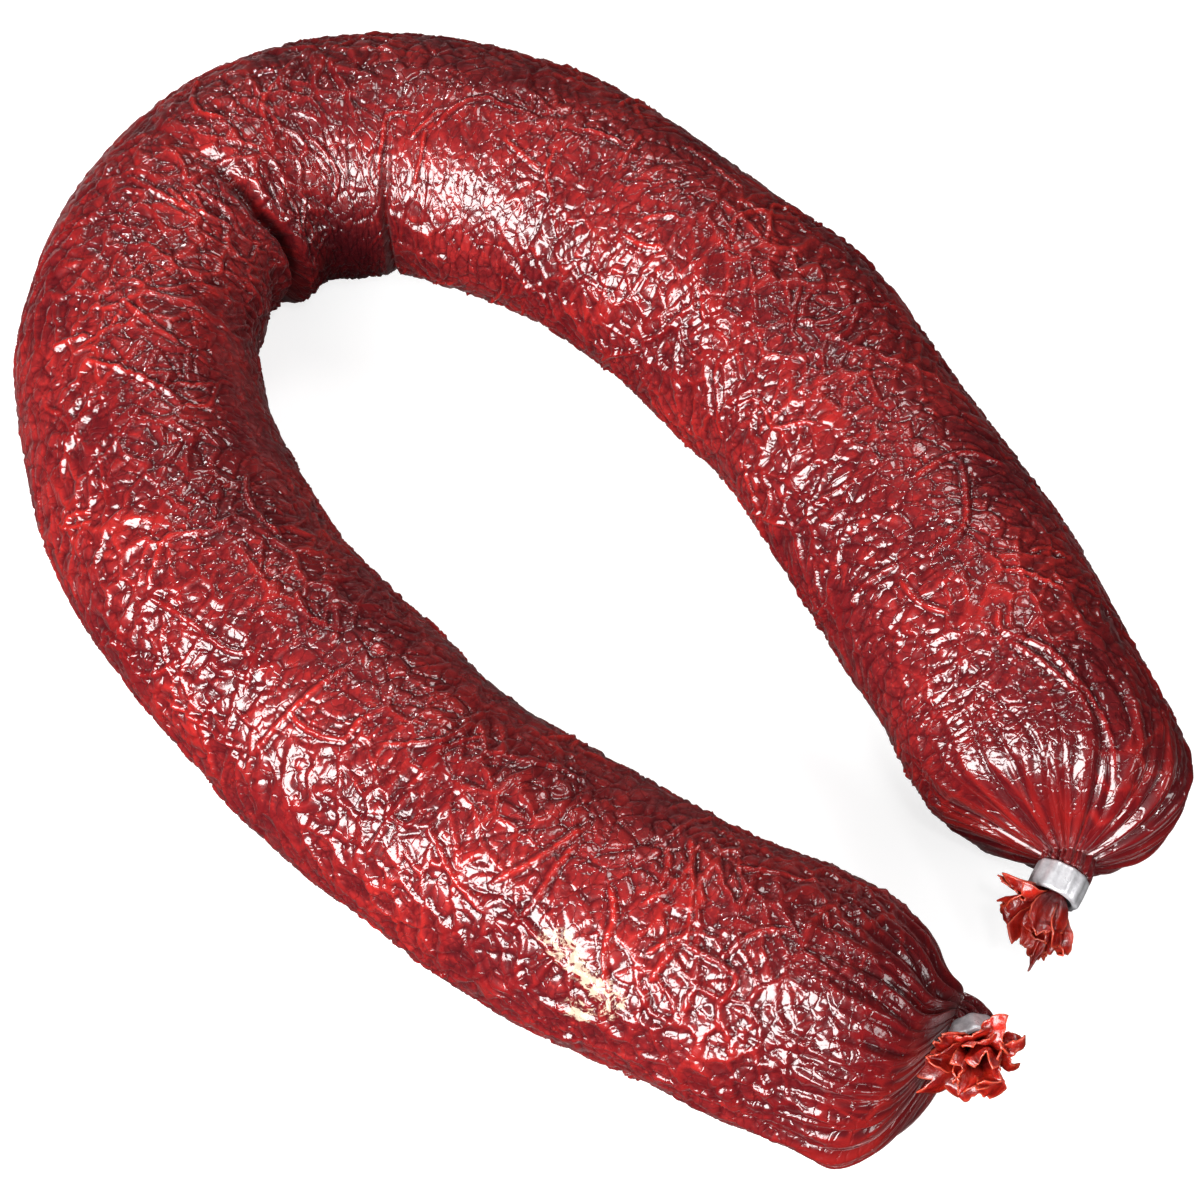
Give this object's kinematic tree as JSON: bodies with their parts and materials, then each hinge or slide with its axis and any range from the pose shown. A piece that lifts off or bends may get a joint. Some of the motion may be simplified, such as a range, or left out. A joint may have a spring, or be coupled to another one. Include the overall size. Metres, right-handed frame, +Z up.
{
  "type": "cured sausage",
  "caption": "Horseshoe ring of dark red cured sausage in a glossy wrinkled casing, its ends gathered through crimped aluminium clips into short ruffled tails",
  "frame": {"origin": "on the ground under the middle of the bounding box", "axes": "+Z up; +X from the bend towards the two gathered ends, along the length of the horseshoe; +Y towards the end whose clip lies level"},
  "size_m": [0.2184, 0.1384, 0.0409],
  "materials": {
    "sausage": "glossy, wrinkled",
    "clip": "bright, crimped"
  },
  "bodies": {
    "root": {"sausage": "sausage", "clip_near": "clip", "clip_far": "clip"}
  },
  "joints": []
}
